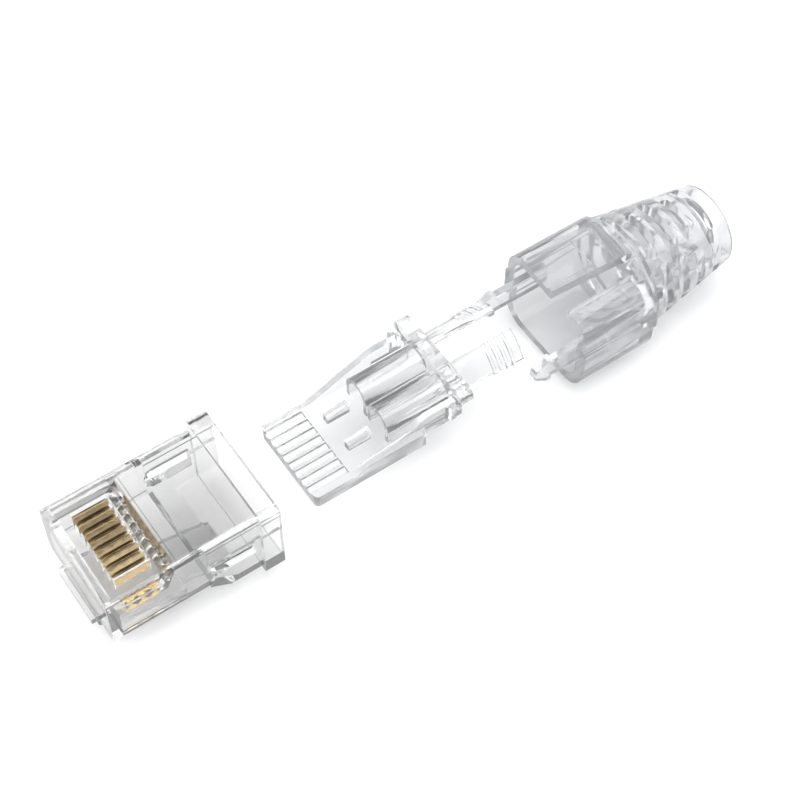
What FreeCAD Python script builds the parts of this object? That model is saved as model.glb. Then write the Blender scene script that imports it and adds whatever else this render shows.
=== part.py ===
import FreeCAD, Part
import math
import os
import Sketcher

# A clear modular plug in three mouldings: the housing with its eight contact blades and its latch,
# the wire guide that slides into it, and the strain-relief boot that follows over the cable.
# The three lie on one line, pulled apart along +X from the mating face, with the contacts up (+Z).
# Millimetres. The origin is on the mating face, on the axis of the cable.

contactCount = 8
notchCount = 4
ridgeCount = 4

sizeTable = {
    # how far a cut runs on past the faces that it opens
    "overcut": 1.0,
    # housing
    "shell_width": 11.68,
    "shell_length": 17.0,
    "shell_round": 0.45,
    "top_level": 4.0,
    "nose_height": 6.6,
    "rear_height": 8.3,
    "step_start": 9.8,
    "step_end": 12.2,
    "nose_wall": 1.1,
    "side_wall": 0.84,
    "floor_wall": 0.7,
    "roof_wall": 0.8,
    "block_depth": 3.1,
    "ramp_start": 5.9,
    "ramp_end": 6.9,
    "divider_run": 0.5,
    "divider_width": 0.25,
    "collar_length": 2.0,
    "collar_rise": 0.45,
    "recess_start": 6.2,
    "recess_end": 7.2,
    "recess_depth": 0.35,
    "recess_rim": 0.55,
    "window_start": 9.7,
    "window_end": 14.4,
    "window_height": 2.05,
    "window_lift": 0.26,
    "window_round": 0.9,
    "rail_height": 0.9,
    "rail_depth": 0.25,
    # contact blades
    "contact_pitch": 1.02,
    "blade_front": 1.95,
    "blade_length": 3.45,
    "blade_thickness": 0.32,
    "blade_sink": 0.5,
    "blade_round": 0.7,
    "blade_gap": 0.05,
    "tooth_depth": 0.75,
    "tooth_lift": 0.05,
    # latch
    "latch_width": 6.15,
    "latch_tab_width": 3.8,
    "latch_thickness": 1.0,
    "latch_shoulder": 8.3,
    "latch_length": 13.6,
    "latch_slope": 16.0,
    "hinge_radius": 0.55,
    "hinge_offset": 0.4,
    "lip_reach": 0.7,
    "lip_height": 0.7,
    # wire guide
    "slide_gap": 0.1,
    "seat_gap": 0.05,
    "guide_distance": 4.5,
    "guide_side_gap": 0.3,
    "guide_length": 15.2,
    "guide_thickness": 1.5,
    "guide_step": 11.9,
    "guide_waist": 7.5,
    "groove_length": 4.0,
    "groove_radius": 0.42,
    "spine_start": 5.2,
    "spine_width": 0.7,
    "spine_nose": 0.8,
    "spine_height": 1.5,
    "tube_spacing": 3.5,
    "tube_radius": 1.65,
    "tube_wall": 0.5,
    "tube_start": 8.6,
    "tube_length": 6.6,
    "tube_level": 1.3,
    "wing_start": 4.5,
    "wing_thickness": 0.65,
    "wing_level": 2.6,
    "arm_level": 0.75,
    "arm_end": 14.9,
    "hook_start": 13.9,
    "hook_reach": 0.5,
    "flange_width": 10.8,
    "flange_thickness": 1.4,
    "flange_top": 3.9,
    "flange_height": 1.9,
    "flange_round": 0.9,
    "cable_radius": 3.25,
    "grip_gap": 0.05,
    "grip_wall": 0.8,
    "grip_length": 6.9,
    "ridge_height": 0.2,
    "ridge_width": 0.3,
    "ridge_pitch": 0.7,
    "ridge_inset": 1.3,
    "grip_span": 46.0,
    "grip_tilt": 45.0,
    # boot
    "boot_distance": 12.3,
    "boot_width": 12.0,
    "boot_top": 4.2,
    "boot_bottom": 6.0,
    "boot_length": 8.6,
    "boot_wall": 1.0,
    "boot_round": 2.6,
    "boot_slot": 6.4,
    "skirt_reach": 0.35,
    "skirt_height": 2.4,
    "skirt_taper": 0.6,
    "skirt_straight": 3.2,
    "prong_reach": 4.65,
    "prong_thickness": 0.9,
    "prong_level": 0.9,
    "prong_height": 2.0,
    "barb_height": 3.0,
    "barb_length": 1.3,
    "tip_height": 1.0,
    "root_length": 3.4,
    "hood_reach": 1.6,
    "hood_level": 7.4,
    "hood_fall": 0.8,
    "hood_thickness": 1.1,
    "hood_width": 4.8,
    "hood_bend": 2.6,
    "hood_foot": 5.0,
    "hood_rim": 0.6,
    "hood_dish": 0.25,
    "hood_dish_length": 5.2,
    "root_ring": 1.2,
    "tail_length": 11.0,
    "tail_start_radius": 5.9,
    "tail_end_radius": 4.2,
    "rib_pitch": 2.2,
    "slot_width": 0.95,
    "slot_start": 1.65,
    "slot_short": 4.0,
    "slot_long": 5.8,
    "neck_gap": 0.45,
    "neck_radius": 5.0,
    "neck_wall": 0.55,
}


class Size:
    """A length with the spreadsheet formula that gives it."""

    def __init__(self, value, formula=None):
        self.value = float(value)
        self.formula = formula if formula else repr(float(value))

    def join(self, other, sign, value):
        return Size(value, "(" + self.formula + " " + sign + " " + asSize(other).formula + ")")

    def __add__(self, other):
        return self.join(other, "+", self.value + asSize(other).value)

    def __sub__(self, other):
        return self.join(other, "-", self.value - asSize(other).value)

    def __mul__(self, other):
        return self.join(other, "*", self.value * asSize(other).value)

    def __truediv__(self, other):
        return self.join(other, "/", self.value / asSize(other).value)

    def __neg__(self):
        return Size(0) - self

    def __radd__(self, other):
        return asSize(other) + self

    def __rsub__(self, other):
        return asSize(other) - self

    def __rmul__(self, other):
        return asSize(other) * self


def asSize(number):
    return number if isinstance(number, Size) else Size(number)


def turned(function, angle):
    """The sine, cosine or tangent of an angle in degrees, with its formula."""
    angle = asSize(angle)
    value = getattr(math, function)(math.radians(angle.value))
    return Size(value, function + "(" + angle.formula + " * 1 deg)")


doc = FreeCAD.newDocument("ModularPlug")
sheet = doc.addObject("Spreadsheet::Sheet", "Sizes")
for row, (alias, number) in enumerate(sizeTable.items(), start=1):
    sheet.set("A" + str(row), alias)
    sheet.set("B" + str(row), repr(number))
    sheet.setAlias("B" + str(row), alias)
doc.recompute()


class Sizes:
    """Every spreadsheet cell by its alias."""

    def __getattr__(self, alias):
        return Size(sizeTable[alias], "Sizes." + alias)


size = Sizes()


def bind(thing, prop, amount):
    thing.setExpression(prop, asSize(amount).formula)


def newBody(label):
    body = doc.addObject("PartDesign::Body", label)
    body.Label = label
    return body


def newSketch(body, name, plane, offset):
    """A sketch on one of the body's origin planes, moved along that plane's normal."""
    sketch = body.newObject("Sketcher::SketchObject", body.Label + "_" + name)
    origin = [f for f in body.Origin.OriginFeatures if f.Role == plane + "_Plane"][0]
    sketch.AttachmentSupport = [(origin, "")]
    sketch.MapMode = "FlatFace"
    bind(sketch, "AttachmentOffset.Base.z", offset)
    return sketch


def fix(sketch, geometry, end, u, v):
    """Ties a point of the sketch to its distances from the sketch's origin."""
    for kind, amount in (("DistanceX", asSize(u)), ("DistanceY", asSize(v))):
        index = sketch.addConstraint(Sketcher.Constraint(kind, -1, 1, geometry, end, amount.value))
        bind(sketch, "Constraints[" + str(index) + "]", amount)


def outline(body, name, plane, points, offset=0):
    """A closed outline through (u, v) corners, or (u, v, radius) for a rounded corner."""
    sketch = newSketch(body, name, plane, offset)
    corners = [FreeCAD.Vector(asSize(p[0]).value, asSize(p[1]).value, 0) for p in points]
    count = len(corners)
    radii = [asSize(p[2]).value if len(p) > 2 else 0.0 for p in points]
    starts, ends, centres = [], [], []
    for i, corner in enumerate(corners):
        before = (corners[i - 1] - corner).normalize()
        after = (corners[(i + 1) % count] - corner).normalize()
        half = math.acos(max(-1.0, min(1.0, before * after))) / 2
        run = radii[i] / math.tan(half)
        ends.append(corner + before * run)
        starts.append(corner + after * run)
        middle = (before + after).normalize() if radii[i] else before
        centres.append(corner + middle * (radii[i] / math.sin(half)))
    for i in range(count):
        sketch.addGeometry(Part.LineSegment(starts[i], ends[(i + 1) % count]), False)
    for i in range(count):
        before, after = (i - 1) % count, i
        if not radii[i]:
            sketch.addConstraint(Sketcher.Constraint("Coincident", before, 2, after, 1))
            fix(sketch, after, 1, *points[i][:2])
            continue
        turn = (ends[i] - centres[i]).cross(starts[i] - centres[i]).z
        first, last = (ends[i], starts[i]) if turn > 0 else (starts[i], ends[i])
        angles = [math.atan2((p - centres[i]).y, (p - centres[i]).x) for p in (first, last)]
        circle = Part.Circle(centres[i], FreeCAD.Vector(0, 0, 1), radii[i])
        arc = sketch.addGeometry(Part.ArcOfCircle(circle, angles[0], angles[1]), False)
        entry, leave = (1, 2) if turn > 0 else (2, 1)
        sketch.addConstraint(Sketcher.Constraint("Tangent", before, 2, arc, entry))
        sketch.addConstraint(Sketcher.Constraint("Tangent", arc, leave, after, 1))
        index = sketch.addConstraint(Sketcher.Constraint("Radius", arc, radii[i]))
        bind(sketch, "Constraints[" + str(index) + "]", points[i][2])
        corner = sketch.addGeometry(Part.Point(corners[i]), True)
        fix(sketch, corner, 1, *points[i][:2])
        sketch.addConstraint(Sketcher.Constraint("PointOnObject", corner, 1, before))
        sketch.addConstraint(Sketcher.Constraint("PointOnObject", corner, 1, after))
    return sketch


def disc(body, name, plane, centre, radius, offset=0):
    """A full circle about a (u, v) centre."""
    sketch = newSketch(body, name, plane, offset)
    radius = asSize(radius)
    middle = FreeCAD.Vector(asSize(centre[0]).value, asSize(centre[1]).value, 0)
    circle = sketch.addGeometry(Part.Circle(middle, FreeCAD.Vector(0, 0, 1), radius.value), False)
    index = sketch.addConstraint(Sketcher.Constraint("Radius", circle, radius.value))
    bind(sketch, "Constraints[" + str(index) + "]", radius)
    fix(sketch, circle, 3, *centre)
    return sketch


def sector(body, name, plane, inner, outer, middle, span, offset=0):
    """A slice of a ring about the sketch's origin, between two radii, around a middle angle."""
    sketch = newSketch(body, name, plane, offset)
    inner, outer, span = asSize(inner), asSize(outer), asSize(span)
    low, high = middle - span / 2, middle + span / 2
    bounds = [math.radians(low.value), math.radians(high.value)]
    for radius in (inner, outer):
        circle = Part.Circle(FreeCAD.Vector(), FreeCAD.Vector(0, 0, 1), radius.value)
        arc = sketch.addGeometry(Part.ArcOfCircle(circle, bounds[0], bounds[1]), False)
        sketch.addConstraint(Sketcher.Constraint("Coincident", arc, 3, -1, 1))
        index = sketch.addConstraint(Sketcher.Constraint("Radius", arc, radius.value))
        bind(sketch, "Constraints[" + str(index) + "]", radius)
    for end, angle in ((1, low), (2, high)):
        near, far = [FreeCAD.Vector(r.value * math.cos(math.radians(angle.value)),
                                    r.value * math.sin(math.radians(angle.value)), 0)
                     for r in (inner, outer)]
        line = sketch.addGeometry(Part.LineSegment(near, far), False)
        sketch.addConstraint(Sketcher.Constraint("Coincident", line, 1, 0, end))
        sketch.addConstraint(Sketcher.Constraint("Coincident", line, 2, 1, end))
        across = inner * turned("cos", angle)
        index = sketch.addConstraint(Sketcher.Constraint("DistanceX", -1, 1, line, 1, across.value))
        bind(sketch, "Constraints[" + str(index) + "]", across)
        sketch.addConstraint(Sketcher.Constraint("PointOnObject", -1, 1, line))
    return sketch


def feature(body, kind, sketch, length, centred=False, backwards=False):
    """Adds a pad or a pocket of the given length to the body."""
    made = body.newObject("PartDesign::" + kind, sketch.Name + "_" + kind)
    made.Profile = sketch
    bind(made, "Length", length)
    if centred:
        made.Midplane = True
    made.Reversed = backwards
    return made


def pad(body, sketch, length, **choices):
    return feature(body, "Pad", sketch, length, **choices)


def pocket(body, sketch, length, **choices):
    """A pocket that must take something away."""
    doc.recompute()
    before = body.Shape.Volume
    made = feature(body, "Pocket", sketch, length, **choices)
    doc.recompute()
    if not body.Shape.Volume < before - 1e-6:
        raise ValueError(made.Name + " cuts nothing")
    return made


def axisOf(body, name):
    return ([f for f in body.Origin.OriginFeatures if f.Role == name + "_Axis"][0], [""])


def pattern(body, originals, axis, step, count, backwards=False):
    """Repeats features along one of the body's origin axes."""
    doc.recompute()
    made = body.newObject("PartDesign::LinearPattern", originals[0].Name + "_Row")
    made.Originals = originals
    made.Direction = axisOf(body, axis)
    made.Reversed = backwards
    bind(made, "Length", asSize(step) * (count - 1))
    made.Occurrences = count
    body.Tip = made
    doc.recompute()
    return made


def mirrored(body, originals):
    """Repeats features on the other side of the object's middle plane."""
    doc.recompute()
    made = body.newObject("PartDesign::Mirrored", originals[0].Name + "_Twin")
    made.Originals = originals
    made.MirrorPlane = ([f for f in body.Origin.OriginFeatures if f.Role == "XZ_Plane"][0], [""])
    body.Tip = made
    doc.recompute()
    return made


def box(low, high, *ends):
    """The four corners of a rectangle from its low and high u and the two v values in ends."""
    return [(low, ends[0]), (high, ends[0]), (high, ends[1]), (low, ends[1])]


# Levels and stations that more than one piece shares
noseBottom = size.top_level - size.nose_height
rearBottom = size.top_level - size.rear_height
noseFloor = noseBottom + size.floor_wall
rearFloor = rearBottom + size.floor_wall
rearRoof = size.top_level - size.roof_wall
frontRoof = size.top_level - size.block_depth
cavityWidth = size.shell_width - size.side_wall * 2
guideWidth = cavityWidth - size.guide_side_gap * 2
guideFront = size.shell_length + size.guide_distance
guideBottom = noseFloor + size.slide_gap
guideTop = guideBottom + size.guide_thickness
flangeFront = guideFront + size.guide_length
flangeBack = flangeFront + size.flange_thickness
bootFront = flangeBack + size.boot_distance
tailFront = bootFront + size.boot_length
tailEnd = tailFront + size.tail_length
prongOuter = cavityWidth / 2 - size.seat_gap
prongInner = prongOuter - size.prong_thickness
prongTop = size.barb_height / 2 - size.prong_level
firstContact = size.contact_pitch * ((contactCount - 1) / 2)
bladeBack = size.blade_front + size.blade_length


def makeHousing():
    """The plug's shell, hollow from behind, with the contact block across its front."""
    body = newBody("housing")
    half = size.shell_width / 2
    shell = outline(body, "Section", "YZ", [
        (-half, rearBottom, size.shell_round), (half, rearBottom, size.shell_round),
        (half, size.top_level, size.shell_round), (-half, size.top_level, size.shell_round)])
    pad(body, shell, size.shell_length)
    wide = half + size.collar_rise
    low, high = rearBottom - size.collar_rise, size.top_level + size.collar_rise
    collar = outline(body, "Collar", "YZ", [
        (-wide, low, size.shell_round), (wide, low, size.shell_round),
        (wide, high, size.shell_round), (-wide, high, size.shell_round)],
        offset=size.shell_length - size.collar_length)
    pad(body, collar, size.collar_length)
    underside = outline(body, "Underside", "XZ", [
        (-size.overcut, rearBottom - size.overcut), (-size.overcut, noseBottom),
        (size.step_start, noseBottom), (size.step_end, rearBottom),
        (size.step_end, rearBottom - size.overcut)])
    pocket(body, underside, size.shell_width + size.overcut * 2, centred=True)

    # the space that takes the wire guide, low under the contact block and high behind it
    shift = size.floor_wall / 2
    out = size.shell_length + size.overcut
    cavity = outline(body, "Cavity", "XZ", [
        (size.nose_wall, noseFloor), (size.step_start + shift, noseFloor),
        (size.step_end + shift, rearFloor), (out, rearFloor), (out, rearRoof),
        (size.ramp_end, rearRoof), (size.ramp_start, frontRoof), (size.nose_wall, frontRoof)])
    pocket(body, cavity, cavityWidth, centred=True)
    track = outline(body, "HookTrack", "XZ", box(
        size.window_start + size.slide_gap, out,
        size.arm_level - size.slide_gap, size.wing_level + size.slide_gap))
    pocket(body, track, guideWidth + (size.hook_reach + size.slide_gap) * 2, centred=True)

    # side windows, open over the boot's prongs
    windowTop = prongTop + size.window_lift
    low = windowTop - size.window_height
    window = outline(body, "Window", "XZ", [
        (size.window_start, low, size.window_round), (size.window_end, low),
        (size.window_end, windowTop), (size.window_start, windowTop, size.window_round)])
    pocket(body, window, size.shell_width + size.overcut * 2, centred=True)

    # lower rails along both sides of the nose
    rail = outline(body, "Rail", "XZ", box(
        -size.overcut, size.window_start, noseBottom - size.overcut, noseBottom + size.rail_height),
        offset=half - size.rail_depth)
    cut = pocket(body, rail, size.rail_depth + size.overcut, backwards=True)
    mirrored(body, [cut])

    recess = outline(body, "Recess", "XY", box(
        size.recess_start, size.recess_end, size.recess_rim - half, half - size.recess_rim),
        offset=size.top_level - size.recess_depth)
    pocket(body, recess, size.recess_depth + size.overcut, backwards=True)

    # one slot for each contact blade, through the contact block
    slot = outline(body, "Slot", "XY", box(
        size.blade_front - size.blade_gap, bladeBack + size.blade_gap,
        -firstContact - size.blade_thickness / 2 - size.blade_gap,
        -firstContact + size.blade_thickness / 2 + size.blade_gap),
        offset=frontRoof - size.slide_gap)
    cut = pocket(body, slot, size.block_depth + size.overcut, backwards=True)
    pattern(body, [cut], "Y", size.contact_pitch, contactCount)

    # dividers between the wires, behind the contact block
    dividerEnd = size.ramp_start + size.divider_run
    slope = (rearRoof - frontRoof) / (size.ramp_end - size.ramp_start)
    divider = outline(body, "Divider", "XZ", box(
        size.ramp_start - size.seat_gap, dividerEnd,
        frontRoof, frontRoof + size.divider_run * slope + size.seat_gap),
        offset=firstContact - size.contact_pitch / 2)
    rib = pad(body, divider, size.divider_width, centred=True)
    pattern(body, [rib], "Y", size.contact_pitch, contactCount - 1)

    # the lip that the latch bends from
    lip = outline(body, "Lip", "XZ", box(
        -size.lip_reach, size.nose_wall, noseBottom, noseBottom + size.lip_height))
    pad(body, lip, size.latch_width, centred=True)
    return body


def makeLatch():
    """The lever under the nose, bent down from its hinge."""
    body = newBody("latch_lever")
    hinge = (size.hinge_offset, noseBottom - size.hinge_radius - size.seat_gap)
    knuckle = disc(body, "Knuckle", "XZ", hinge, size.hinge_radius)
    pad(body, knuckle, size.latch_width, centred=True)
    fall = turned("tan", size.latch_slope)
    depth = size.latch_thickness / turned("cos", size.latch_slope)
    top = hinge[1] + size.hinge_radius - size.seat_gap * 2

    def bar(name, start, end, width):
        near, far = top - (start - hinge[0]) * fall, top - (end - hinge[0]) * fall
        lever = outline(body, name, "XZ", [
            (start, near - depth), (end, far - depth), (end, far), (start, near)])
        pad(body, lever, width, centred=True)

    bar("Lever", hinge[0] + size.hinge_radius / 2, size.latch_shoulder, size.latch_width)
    bar("Tab", size.latch_shoulder - size.latch_thickness, size.latch_length, size.latch_tab_width)
    return body


def makeContact(number):
    """One insulation-piercing blade: a rounded top edge and three teeth along the bottom."""
    body = newBody("contact_" + str(number))
    y = -firstContact + size.contact_pitch * (number - 1)
    top = size.top_level - size.blade_sink
    tip = frontRoof + size.tooth_lift
    tooth = size.blade_length / 6
    start = size.blade_front
    teeth = []
    for i in range(6, 0, -2):
        teeth += [(start + tooth * i, tip + size.tooth_depth), (start + tooth * (i - 1), tip)]
    points = [(start, top, size.blade_round), (bladeBack, top, size.blade_round)]
    points += teeth + [(start, tip + size.tooth_depth)]
    profile = outline(body, "Profile", "XZ", points, offset=-y)
    pad(body, profile, size.blade_thickness, centred=True)
    return body


def makeGuide():
    """The comb that holds the wires, with its stop flange and the two arms that grip the cable."""
    body = newBody("wire_guide")
    half, waist = guideWidth / 2, size.guide_waist / 2
    stepX = guideFront + size.guide_step
    plate = outline(body, "Plate", "XY", [
        (guideFront, -half, size.tube_wall), (stepX, -half), (stepX, -waist), (flangeFront, -waist),
        (flangeFront, waist), (stepX, waist), (stepX, half), (guideFront, half, size.tube_wall)],
        offset=guideBottom)
    pad(body, plate, size.guide_thickness)

    # stop flange: a round-ended bar across the top of a narrower web
    wide = size.flange_width / 2
    barBottom = size.flange_top - size.flange_height
    web = outline(body, "Web", "YZ", box(-waist, waist, guideBottom, barBottom + size.seat_gap),
                  offset=flangeFront)
    pad(body, web, size.flange_thickness)
    bar = outline(body, "Flange", "YZ", [
        (-wide, barBottom, size.flange_round), (wide, barBottom, size.flange_round),
        (wide, size.flange_top, size.flange_round), (-wide, size.flange_top, size.flange_round)],
        offset=flangeFront)
    pad(body, bar, size.flange_thickness)

    # side wings that rise to the snap arms
    wingStart = guideFront + size.wing_start
    armEnd = guideFront + size.arm_end
    wing = outline(body, "Wing", "XZ", [
        (wingStart, guideTop - size.seat_gap), (stepX, guideTop - size.seat_gap),
        (stepX, size.arm_level), (flangeFront + size.seat_gap, size.arm_level),
        (flangeFront + size.seat_gap, size.wing_level), (stepX, size.wing_level),
        (wingStart, guideTop)], offset=half - size.wing_thickness)
    left = pad(body, wing, size.wing_thickness)
    mirrored(body, [left])
    hookStart = guideFront + size.hook_start
    hook = outline(body, "Hook", "XY", [
        (hookStart, half - size.seat_gap), (armEnd, half - size.seat_gap),
        (armEnd, half + size.hook_reach), (hookStart + size.hook_reach, half + size.hook_reach)],
        offset=size.arm_level)
    left = pad(body, hook, size.wing_level - size.arm_level)
    mirrored(body, [left])

    # two arched tubes for the middle pairs, each behind a spine that parts the wires
    tubeStart = guideFront + size.tube_start
    centre = (size.tube_spacing / 2, size.tube_level)
    tube = disc(body, "Tube", "YZ", centre, size.tube_radius, offset=tubeStart)
    arch = pad(body, tube, size.tube_length)
    block = outline(body, "TubeFoot", "YZ", box(
        centre[0] - size.tube_radius, centre[0] + size.tube_radius,
        guideTop - size.seat_gap, size.tube_level), offset=tubeStart)
    foot = pad(body, block, size.tube_length)
    spineStart = guideFront + size.spine_start
    spine = outline(body, "Spine", "XZ", [
        (spineStart, guideTop - size.seat_gap), (tubeStart + size.seat_gap, guideTop - size.seat_gap),
        (tubeStart + size.seat_gap, guideTop + size.spine_height),
        (spineStart, guideTop + size.spine_nose)],
        offset=-centre[0] - size.spine_width / 2)
    ridge = pad(body, spine, size.spine_width)
    mirrored(body, [arch, foot, ridge])
    bore = size.tube_radius - size.tube_wall
    hole = disc(body, "TubeBore", "YZ", centre, bore, offset=tubeStart - size.overcut)
    drill = size.tube_length + size.flange_thickness + size.overcut * 2
    inside = pocket(body, hole, drill, backwards=True)
    under = outline(body, "Channel", "YZ", box(
        centre[0] - bore, centre[0] + bore, guideTop, size.tube_level), offset=tubeStart - size.overcut)
    below = pocket(body, under, drill, backwards=True)
    mirrored(body, [inside, below])

    # wire grooves across the front of the plate
    groove = disc(body, "Groove", "YZ", (-firstContact, guideTop), size.groove_radius,
                  offset=guideFront - size.overcut)
    cut = pocket(body, groove, size.groove_length + size.overcut, backwards=True)
    pattern(body, [cut], "Y", size.contact_pitch, contactCount)

    # two curved arms that grip the cable behind the flange, each with cross ridges near its tip
    gripInner = size.cable_radius + size.grip_gap
    gripOuter = gripInner + size.grip_wall
    lastRidge = flangeBack + size.grip_length - size.ridge_inset
    for name, middle in (("GripLeft", size.grip_tilt), ("GripRight", 180 - size.grip_tilt)):
        arm = sector(body, name, "YZ", gripInner, gripOuter, middle, size.grip_span,
                     offset=flangeBack - size.seat_gap)
        pad(body, arm, size.grip_length + size.seat_gap)
        ridge = sector(body, name + "Ridge", "YZ", gripOuter - size.seat_gap,
                       gripOuter + size.ridge_height, middle, size.grip_span, offset=lastRidge)
        line = pad(body, ridge, size.ridge_width)
        pattern(body, [line], "X", size.ridge_pitch, ridgeCount, backwards=True)
    return body


def makeBoot():
    """The strain-relief boot: an open sleeve with two barbed prongs, a hood and a flexible tail."""
    body = newBody("boot")
    half = size.boot_width / 2
    inner = half - size.boot_wall
    level = -size.prong_level
    stem = size.prong_height / 2
    # sleeve: a rounded box with a straight skirt along each side, level with the prongs
    sleeve = outline(body, "Sleeve", "YZ", [
        (-half, -size.boot_bottom, size.boot_round), (half, -size.boot_bottom, size.boot_round),
        (half, size.boot_top, size.boot_round), (-half, size.boot_top, size.boot_round)],
        offset=bootFront)
    pad(body, sleeve, size.boot_length)
    low, high = level - size.skirt_height / 2, level + size.skirt_height / 2
    side = outline(body, "Skirt", "XZ", [
        (bootFront, low), (bootFront + size.skirt_straight, low), (tailFront, low + size.skirt_taper),
        (tailFront, high), (bootFront, high)], offset=half - size.boot_wall / 2)
    skirt = pad(body, side, size.boot_wall / 2 + size.skirt_reach)
    mirrored(body, [skirt])

    # tail: a taper about the axis of the cable, behind a narrow neck
    neckEnd = tailFront + size.neck_gap
    tail = outline(body, "Tail", "XZ", [
        (tailFront - size.root_ring, 0), (tailEnd, 0),
        (tailEnd, size.tail_end_radius, size.neck_wall / 2), (neckEnd, size.tail_start_radius),
        (neckEnd, size.neck_radius), (tailFront, size.neck_radius),
        (tailFront, size.tail_start_radius), (tailFront - size.root_ring, size.tail_start_radius)])
    turn = body.newObject("PartDesign::Revolution", "boot_Tail_Turn")
    turn.Profile = tail
    turn.ReferenceAxis = (tail, ["H_Axis"])
    turn.Angle = 360

    # hood: a tongue over the sleeve that bends down to the root of the tail, dished between two rims
    hoodFront = bootFront - size.hood_reach
    hoodBack = size.hood_level - size.hood_fall
    hood = outline(body, "Hood", "XZ", [
        (hoodFront, size.hood_level - size.hood_thickness),
        (hoodFront, size.hood_level, size.hood_thickness / 4),
        (tailFront, hoodBack, size.hood_bend), (tailFront, size.hood_foot),
        (tailFront - size.hood_thickness, size.hood_foot),
        (tailFront - size.hood_thickness, hoodBack - size.hood_thickness,
         size.hood_bend - size.hood_thickness)])
    pad(body, hood, size.hood_width, centred=True)
    dishEnd = hoodFront + size.hood_dish_length
    fall = size.hood_fall / (tailFront - hoodFront)
    dishTop = size.hood_level - size.hood_dish
    dish = outline(body, "HoodDish", "XZ", [
        (hoodFront - size.overcut, dishTop + fall * size.overcut),
        (dishEnd, dishTop - size.hood_dish_length * fall),
        (dishEnd, size.hood_level + size.overcut),
        (hoodFront - size.overcut, size.hood_level + size.overcut)])
    pocket(body, dish, size.hood_width - size.hood_rim * 2, centred=True)

    inside = outline(body, "Inside", "YZ", [
        (-inner, size.boot_wall - size.boot_bottom, size.boot_round - size.boot_wall / 2),
        (inner, size.boot_wall - size.boot_bottom, size.boot_round - size.boot_wall / 2),
        (inner, size.boot_top - size.boot_wall, size.boot_round - size.boot_wall),
        (-inner, size.boot_top - size.boot_wall, size.boot_round - size.boot_wall)],
        offset=bootFront - size.overcut)
    depth = size.boot_length - size.root_ring + size.overcut
    pocket(body, inside, depth, backwards=True)
    opening = outline(body, "TopOpening", "YZ", box(
        -size.boot_slot / 2, size.boot_slot / 2, 0, size.boot_top + size.seat_gap),
        offset=bootFront - size.overcut)
    pocket(body, opening, depth, backwards=True)
    bore = disc(body, "Bore", "YZ", (0, 0), size.cable_radius, offset=bootFront)
    pocket(body, bore, size.boot_length + size.tail_length + size.overcut, backwards=True)

    # barbed prongs, each on a root block inside the sleeve's wall
    tipX = bootFront - size.prong_reach
    barbX = tipX + size.barb_length
    barb, tip = size.barb_height / 2, size.tip_height / 2
    rootX = bootFront + size.root_length
    arrow = outline(body, "Prong", "XZ", [
        (tipX, level - tip), (barbX, level - barb), (barbX + tip, level - barb),
        (barbX + tip, level - stem), (rootX, level - stem), (rootX, level + stem),
        (barbX + tip, level + stem), (barbX + tip, level + barb), (barbX, level + barb),
        (tipX, level + tip)], offset=prongInner)
    prong = pad(body, arrow, size.prong_thickness)
    root = outline(body, "ProngRoot", "XZ", box(
        bootFront, rootX, level - stem, level + stem), offset=prongInner)
    block = pad(body, root, half - size.boot_wall / 2 - prongInner)
    mirrored(body, [prong, block])

    # flexible ribs: notches in both sides, with slots through top and bottom, short and long in turn
    far = size.tail_start_radius + size.overcut
    notchFront = tailFront + size.slot_start
    notchBack = notchFront + size.slot_width
    notchFloor = size.cable_radius + size.neck_wall
    left = outline(body, "NotchLeft", "YZ", box(notchFloor, far, -far, far), offset=notchFront)
    right = outline(body, "NotchRight", "YZ", box(-far, -notchFloor, -far, far), offset=notchFront)
    notches = [pocket(body, flank, size.slot_width, backwards=True) for flank in (left, right)]
    pattern(body, notches, "X", size.rib_pitch, notchCount)
    corner = size.slot_width / 2 - size.seat_gap
    for name, width, shift in (("SlotShort", size.slot_short, asSize(0)),
                               ("SlotLong", size.slot_long, size.rib_pitch)):
        window = outline(body, name, "XY", [
            (notchFront + shift, -width / 2, corner), (notchBack + shift, -width / 2, corner),
            (notchBack + shift, width / 2, corner), (notchFront + shift, width / 2, corner)])
        cut = pocket(body, window, far * 2, centred=True)
        pattern(body, [cut], "X", size.rib_pitch * 2, notchCount // 2)
    return body


def writeParts(bodies):
    """Checks every object and every solid, then writes one STEP file for each sub-part."""
    doc.recompute()
    for thing in doc.Objects:
        if "Invalid" in thing.State or "Error" in thing.State:
            raise ValueError(thing.Name + " failed: " + str(thing.State))
    for body in bodies:
        shape = body.Shape
        if shape.isNull() or not shape.isValid() or len(shape.Solids) != 1:
            raise ValueError(body.Label + " is not one valid solid")
    os.makedirs("parts", exist_ok=True)
    for body in bodies:
        body.Shape.exportStep("parts/" + body.Label + ".step")
        bounds = body.Shape.BoundBox
        print(body.Label, "volume", round(body.Shape.Volume, 2),
              "x", round(bounds.XMin, 2), round(bounds.XMax, 2),
              "y", round(bounds.YMin, 2), round(bounds.YMax, 2),
              "z", round(bounds.ZMin, 2), round(bounds.ZMax, 2))


parts = [makeHousing(), makeLatch()]
parts += [makeContact(number) for number in range(1, contactCount + 1)]
parts += [makeGuide(), makeBoot()]
writeParts(parts)
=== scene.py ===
import math

import bpy
import numpy as np
from mathutils import Matrix, Vector


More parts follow.
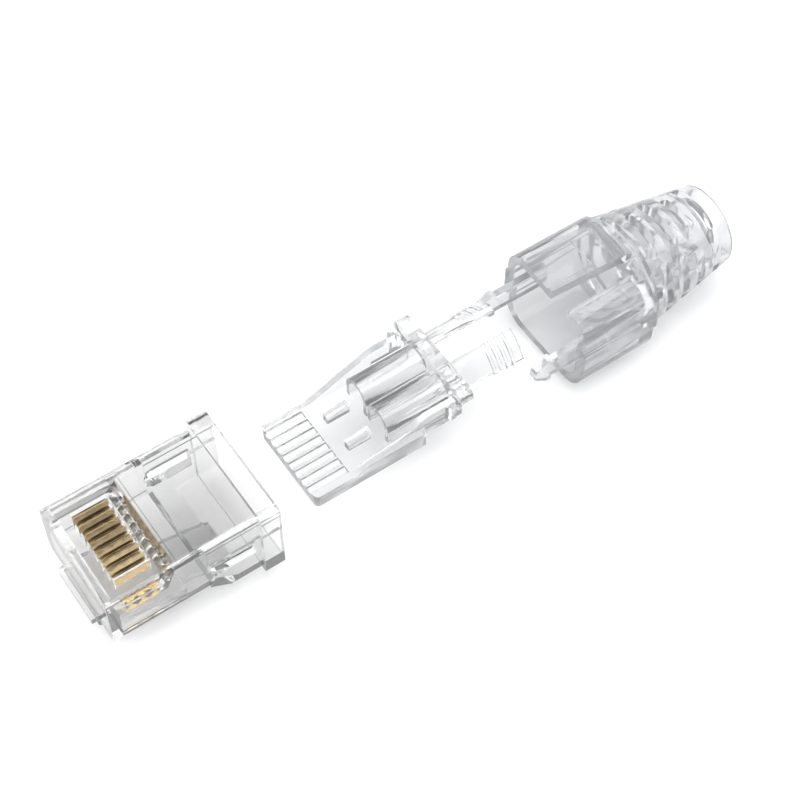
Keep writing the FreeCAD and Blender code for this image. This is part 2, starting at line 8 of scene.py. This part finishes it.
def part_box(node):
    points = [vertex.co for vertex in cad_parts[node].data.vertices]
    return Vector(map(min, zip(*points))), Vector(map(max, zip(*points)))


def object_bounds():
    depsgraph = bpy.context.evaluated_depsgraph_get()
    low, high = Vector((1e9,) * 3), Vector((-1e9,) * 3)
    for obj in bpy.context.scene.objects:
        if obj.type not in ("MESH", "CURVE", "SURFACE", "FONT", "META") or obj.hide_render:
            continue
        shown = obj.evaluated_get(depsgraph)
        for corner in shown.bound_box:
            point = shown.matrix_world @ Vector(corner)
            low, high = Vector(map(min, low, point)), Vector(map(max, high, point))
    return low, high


# Looks of a clear modular plug pulled apart into housing, wire guide and boot.

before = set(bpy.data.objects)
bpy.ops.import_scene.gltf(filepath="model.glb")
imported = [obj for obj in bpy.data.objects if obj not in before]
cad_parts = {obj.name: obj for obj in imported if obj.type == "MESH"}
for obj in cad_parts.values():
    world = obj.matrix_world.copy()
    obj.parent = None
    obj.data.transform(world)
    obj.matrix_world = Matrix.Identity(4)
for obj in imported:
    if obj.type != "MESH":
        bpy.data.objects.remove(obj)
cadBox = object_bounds()
print("frame loaded:", len(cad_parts), "nodes")

scene = bpy.context.scene
scene.view_settings.view_transform = "Standard"  # keeps white paper white and clear edges grey
mm = 0.001


def feed(tree, place, value):
    # an input gets a link when the value is a Socket, and the plain value otherwise
    if isinstance(value, Socket):
        tree.links.new(value.out, place)
    else:
        place.default_value = value


class Socket:
    # wraps one output socket, so that maths on it reads as ordinary arithmetic

    def __init__(self, tree, out):
        self.tree = tree
        self.out = out

    def maths(self, operation, *values):
        # a Math node on this socket and the values, each a number or another Socket
        node = self.tree.nodes.new("ShaderNodeMath")
        node.operation = operation
        for place, value in zip(node.inputs, (self,) + values):
            feed(self.tree, place, value)
        return Socket(self.tree, node.outputs[0])

    def __add__(self, other):
        return self.maths("ADD", other)

    def __radd__(self, other):
        return self.maths("ADD", other)

    def __sub__(self, other):
        return self.maths("SUBTRACT", other)

    def __rsub__(self, other):
        return (self * -1.0) + other

    def __mul__(self, other):
        return self.maths("MULTIPLY", other)

    def __rmul__(self, other):
        return self.maths("MULTIPLY", other)

    def __truediv__(self, other):
        return self.maths("DIVIDE", other)

    def __pow__(self, other):
        return self.maths("POWER", other)


class Shader:
    # a material's node tree, with one method that makes any node

    def __init__(self, name):
        self.material = bpy.data.materials.new(name)
        self.material.use_nodes = True
        self.tree = self.material.node_tree
        self.tree.nodes.clear()

    def make(self, kind, settings=None, output=0, **inputs):
        # settings are set first; an input goes by its name, with _ for a space, or by i and its number;
        # output is the name or the number of the output that is handed back
        node = self.tree.nodes.new(kind)
        for key, value in (settings or {}).items():
            setattr(node, key, value)
        for key, value in inputs.items():
            isNumber = key[0] == "i" and key[1:].isdigit()
            feed(self.tree, node.inputs[int(key[1:]) if isNumber else key.replace("_", " ")], value)
        return Socket(self.tree, node.outputs[output])

    def axis(self, letter, where):
        # the X, Y or Z of a place
        return self.make("ShaderNodeSeparateXYZ", output=letter, Vector=where)

    def mixColours(self, share, first, second):
        # first * (1 - share) + second * share, on colours; a Mix node's sockets for colour go by number,
        # because they share their names with those for values
        return self.make("ShaderNodeMix", {"data_type": "RGBA"}, output=2, i0=share, i6=first, i7=second)

    def mixSurfaces(self, share, first, second):
        # first * (1 - share) + second * share, on surfaces
        return self.make("ShaderNodeMixShader", Fac=share, i1=first, i2=second)

    def finish(self, surface):
        # the surface becomes the material's own, and the material is handed back
        end = self.tree.nodes.new("ShaderNodeOutputMaterial")
        self.tree.links.new(surface.out, end.inputs["Surface"])
        return self.material


def vary(noise, middle, swing):
    # middle + swing * (noise - 0.5), since a noise runs from 0 to 1
    return (noise - 0.5) * swing + middle


# one entry per clear moulding: tint through a wall, a darker tint at a grazing edge (edge) that is painted
# shade, bending of light, gloss, milkiness, scale and height of the flow marks, and the share of light that
# its shadow lets through
clearLooks = {
    "housing": {"tint": (0.965, 0.965, 0.96, 1.0), "edge": (0.50, 0.51, 0.52, 1.0), "ior": 1.5,
                "roughness": 0.03, "haze": 0.05, "flowScale": 320.0, "flowHeight": 0.02, "shade": 0.45},
    "latch_lever": {"tint": (0.965, 0.965, 0.96, 1.0), "edge": (0.50, 0.51, 0.52, 1.0), "ior": 1.5,
                    "roughness": 0.04, "haze": 0.05, "flowScale": 320.0, "flowHeight": 0.02, "shade": 0.4},
    "wire_guide": {"tint": (0.965, 0.967, 0.97, 1.0), "edge": (0.46, 0.47, 0.48, 1.0), "ior": 1.5,
                   "roughness": 0.06, "haze": 0.08, "flowScale": 300.0, "flowHeight": 0.02, "shade": 0.35},
    "boot": {"tint": (0.935, 0.94, 0.95, 1.0), "edge": (0.28, 0.29, 0.31, 1.0), "ior": 1.45,
             "roughness": 0.08, "haze": 0.12, "flowScale": 240.0, "flowHeight": 0.02, "shade": 0.3},
}

# what the clear mouldings share
clearFinish = {"milk": (0.93, 0.935, 0.94, 1.0), "milkRoughness": 0.25, "glowShare": 0.5,
               "rimShadeBlend": 0.4, "rimShadePower": 1.8,
               "flowDetail": 2.0, "flowDepth": 1.0 * mm, "flowRoughness": 0.04, "flowHaze": 0.06}

# painted shade: the floor of the groove across the housing's roof is tinted dark by its place, standing in
# for the shade in that recess, which is a choice of looks
paintedGrooveShade = {"tint": (0.34, 0.31, 0.29, 1.0), "start": 6.2 * mm, "end": 6.95 * mm, "level": 3.65 * mm,
              "margin": 0.06 * mm}


def paintedGrooveShadeMask(shader, where):
    # 1 on the groove's floor, where the painted shade goes: |x - middle| < half its width and |z - level| <
    # margin
    middle = (paintedGrooveShade["start"] + paintedGrooveShade["end"]) / 2
    inRun = shader.axis("X", where).maths("COMPARE", middle, (paintedGrooveShade["end"] - paintedGrooveShade["start"]) / 2)
    return inRun * shader.axis("Z", where).maths("COMPARE", paintedGrooveShade["level"], paintedGrooveShade["margin"])


# the blades stand gap clear of their slots' walls, and a clear wall with air behind it mirrors the floor and
# hides them; so these walls are drawn fully see-through, which is a choice of looks
slotLook = {"gap": 0.05 * mm, "margin": 0.012 * mm}

bladeNodes = sorted(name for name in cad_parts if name.startswith("contact_"))
bladeLow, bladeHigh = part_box(bladeNodes[0])
bladeMiddle = [(low + high) / 2 for low, high in zip(bladeLow, bladeHigh)]
bladeHalf = [(high - low) / 2 for low, high in zip(bladeLow, bladeHigh)]
bladePitch = abs(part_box(bladeNodes[1])[0][1] - bladeLow[1])


def slotMask(shader, where):
    # 1 on the slots' side walls beside the blades at rest: x and z lie within the first blade's box, and
    # | |((y - start) mod pitch) - pitch / 2| - half | < margin, where start is half a pitch before the
    # first blade's middle and half is half the slot's width
    start = bladeMiddle[1] - bladePitch / 2
    offset = (shader.axis("Y", where) - start).maths("FLOORED_MODULO", bladePitch) - bladePitch / 2
    beside = offset.maths("ABSOLUTE").maths("COMPARE", bladeHalf[1] + slotLook["gap"], slotLook["margin"])
    inRun = shader.axis("X", where).maths("COMPARE", bladeMiddle[0], bladeHalf[0])
    inHeight = shader.axis("Z", where).maths("COMPARE", bladeMiddle[2], bladeHalf[2])
    return beside * inRun * inHeight


def clearPlastic(nodeName, look):
    # clear moulding: haze * milky scatter + (1 - haze) * see-through gloss, over one bumped surface;
    # the gloss takes the edge tint, a painted shade on grazing edges, by rimShade ** rimShadePower;
    # roughness and haze each vary with the flow noise;
    # on the housing, the groove's floor has a tint of its own and the slots' walls are see-through
    shader = Shader("clear" + nodeName.title().replace("_", ""))
    where = shader.make("ShaderNodeTexCoord", output="Object")
    flow = shader.make("ShaderNodeTexNoise", Vector=where, Scale=look["flowScale"],
                       Detail=clearFinish["flowDetail"])
    bump = shader.make("ShaderNodeBump", Height=flow, Strength=look["flowHeight"],
                       Distance=clearFinish["flowDepth"])
    rough = vary(flow, look["roughness"], clearFinish["flowRoughness"])
    # painted shade: this facing weight lays the darker edge tint over grazing edges
    rimShade = shader.make("ShaderNodeLayerWeight", output="Facing", Blend=clearFinish["rimShadeBlend"], Normal=bump)
    tints = [look["tint"], look["edge"]]
    if nodeName == "housing":
        # painted shade: the groove's floor is tinted dark
        grooveShade = paintedGrooveShadeMask(shader, where)
        tints = [shader.mixColours(grooveShade, tint, paintedGrooveShade["tint"]) for tint in tints]
    # wall takes the plain tint; edge takes the painted shade tint for grazing edges
    wall, edge = [shader.make("ShaderNodeBsdfPrincipled", Base_Color=tint, Roughness=rough, IOR=look["ior"],
                              Transmission_Weight=1.0, Normal=bump) for tint in tints]
    gloss = shader.mixSurfaces(rimShade ** clearFinish["rimShadePower"], wall, edge)
    milk = shader.make("ShaderNodeBsdfPrincipled", Base_Color=clearFinish["milk"],
                       Roughness=rough + clearFinish["milkRoughness"], IOR=look["ior"], Normal=bump)
    glow = shader.make("ShaderNodeBsdfTranslucent", Color=clearFinish["milk"], Normal=bump)
    scatter = shader.mixSurfaces(clearFinish["glowShare"], milk, glow)
    body = shader.mixSurfaces(vary(flow, look["haze"], clearFinish["flowHaze"]), gloss, scatter)
    if nodeName == "housing":
        body = shader.mixSurfaces(slotMask(shader, where), body, shader.make("ShaderNodeBsdfTransparent"))
    # shadow rays pass, dimmed to the look's shade, which lightens the shadows and is a choice of looks
    through = shader.make("ShaderNodeBsdfTransparent", Color=(look["shade"],) * 3 + (1.0,))
    shadowRay = shader.make("ShaderNodeLightPath", output="Is Shadow Ray")
    return shader.finish(shader.mixSurfaces(shadowRay, body, through))


goldLook = {
    "colour": (0.60, 0.42, 0.15, 1.0),
    # painted shade on the blade's top edge
    "topShadeColour": (0.02, 0.016, 0.012, 1.0),
    "topShadeDepth": 0.1 * mm,
    "roughness": 0.24,
    "markScale": 4000.0,
    "markDetail": 3.0,
    "markStrength": 0.1,
    "markDepth": 0.02 * mm,
    "markRoughness": 0.12,
}


def goldPlate(name, topLevel):
    # gold flash over stamped metal with fine rolling marks; the top edge, above topLevel - topShadeDepth, is
    # painted dark as shade: edge = clamp((z - topLevel) / topShadeDepth + 1)
    shader = Shader(name)
    where = shader.make("ShaderNodeTexCoord", output="Object")
    # edge: where the painted shade darkens the blade's top
    edge = (shader.axis("Z", where) - topLevel) / goldLook["topShadeDepth"] + 1.0
    edge = edge.maths("MAXIMUM", 0.0).maths("MINIMUM", 1.0)
    marks = shader.make("ShaderNodeTexNoise", Vector=where, Scale=goldLook["markScale"],
                        Detail=goldLook["markDetail"])
    bump = shader.make("ShaderNodeBump", Height=marks, Strength=goldLook["markStrength"],
                       Distance=goldLook["markDepth"])
    colour = shader.mixColours(edge, goldLook["colour"], goldLook["topShadeColour"])
    rough = vary(marks, goldLook["roughness"], goldLook["markRoughness"])
    return shader.finish(shader.make("ShaderNodeBsdfPrincipled", Base_Color=colour, Metallic=1.0,
                                     Roughness=rough, Normal=bump))


clearMaterials = {nodeName: clearPlastic(nodeName, look) for nodeName, look in clearLooks.items()}
gold = goldPlate("goldBladeWithPaintedTopShade", bladeHigh[2])

# points closer than merge become one, then edges sharper than angle are rounded
edgeLook = {"merge": 0.002 * mm, "width": 0.07 * mm, "segments": 2, "angle": math.radians(32)}



def roundEdges(piece):
    # a weld joins the mesh's loose triangles, and a bevel of edgeLook's width rounds what is left sharp
    weld = piece.modifiers.new("weld", "WELD")
    weld.merge_threshold = edgeLook["merge"]
    bevel = piece.modifiers.new("edge", "BEVEL")
    bevel.width = edgeLook["width"]
    bevel.segments = edgeLook["segments"]
    bevel.limit_method = "ANGLE"
    bevel.angle_limit = edgeLook["angle"]


for nodeName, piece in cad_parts.items():
    for holder in piece.material_slots:
        holder.material = clearMaterials.get(nodeName, gold)
    roundEdges(piece)
print("materials assigned")

floorLook = {"colour": (0.96, 0.96, 0.96, 1.0), "size": 3.0, "gap": 0.02 * mm, "roughness": 0.6,
             "grainScale": 900.0, "grainDetail": 3.0, "grainRoughness": 0.1}


def studioFloor(level):
    # one flat square, centred on the origin at the given level
    half = floorLook["size"] / 2
    corners = np.array([(-half, -half), (half, -half), (half, half), (-half, half)])
    corners = np.column_stack([corners, np.full(len(corners), level)])
    mesh = bpy.data.meshes.new("studioFloor")
    mesh.from_pydata(corners.tolist(), [], [(0, 1, 2, 3)])
    piece = bpy.data.objects.new("studioFloor", mesh)
    scene.collection.objects.link(piece)
    shader = Shader("paperFloor")
    where = shader.make("ShaderNodeTexCoord", output="Object")
    grain = shader.make("ShaderNodeTexNoise", Vector=where, Scale=floorLook["grainScale"],
                        Detail=floorLook["grainDetail"])
    rough = vary(grain, floorLook["roughness"], floorLook["grainRoughness"])
    paper = shader.make("ShaderNodeBsdfPrincipled", Base_Color=floorLook["colour"], Roughness=rough)
    mesh.materials.append(shader.finish(paper))


studioFloor(cadBox[0][2] - floorLook["gap"])

# angles in degrees, the lens in millimetres, the rest in metres
cameraLook = {
    "azimuth": -34.4,
    "elevation": 56.3,
    "distance": 0.1737,
    "lens": 85.0,
    "target": (0.03355, -0.0003, 0.0),
    "clipStart": 0.01,
}


def viewDirection(azimuth, elevation):
    # unit vector from the target to the camera: azimuth turns about Z from -Y, elevation lifts it
    turn = math.radians(azimuth)
    lift = math.radians(elevation)
    return Vector((math.sin(turn) * math.cos(lift), -math.cos(turn) * math.cos(lift), math.sin(lift)))


def placeCamera(look):
    # an upright camera at target + direction * distance, looking back along that direction
    back = viewDirection(look["azimuth"], look["elevation"])
    level = Vector((0, 0, 1)).cross(back).normalized()
    up = back.cross(level)
    data = bpy.data.cameras.new("studioCamera")
    data.lens = look["lens"]
    data.clip_start = look["clipStart"]
    camera = bpy.data.objects.new("studioCamera", data)
    scene.collection.objects.link(camera)
    place = Vector(look["target"]) + back * look["distance"]
    axes = Matrix((level, up, back)).transposed().to_4x4()
    camera.matrix_world = Matrix.Translation(place) @ axes
    scene.camera = camera


placeCamera(cameraLook)

lightRig = [
    # name, azimuth and elevation in degrees, distance and width in metres, watts
    ("overheadSoftbox", -40.0, 78.0, 0.9, 0.8, 9.7),
    ("leftSoftbox", -110.0, 30.0, 0.8, 0.45, 1.4),
    ("rightSoftbox", 60.0, 35.0, 0.8, 0.45, 1.4),
    ("backSoftbox", 175.0, 28.0, 0.8, 0.35, 0.7),
]


def softbox(name, azimuth, elevation, distance, width, watts):
    # a square area light at target + direction * distance, which faces the camera's target
    data = bpy.data.lights.new(name, "AREA")
    data.shape = "SQUARE"
    data.size = width
    data.energy = watts
    lamp = bpy.data.objects.new(name, data)
    scene.collection.objects.link(lamp)
    target = Vector(cameraLook["target"])
    lamp.location = target + viewDirection(azimuth, elevation) * distance
    lamp.rotation_euler = (target - lamp.location).to_track_quat("-Z", "Y").to_euler()


for settings in lightRig:
    softbox(*settings)

worldLook = {"colour": (0.94, 0.97, 1.0, 1.0), "strength": 0.2}
world = bpy.data.worlds.new("studioWorld")
scene.world = world
world.use_nodes = True
backdrop = world.node_tree.nodes["Background"]
backdrop.inputs["Color"].default_value = worldLook["colour"]
backdrop.inputs["Strength"].default_value = worldLook["strength"]
print("studio ready")
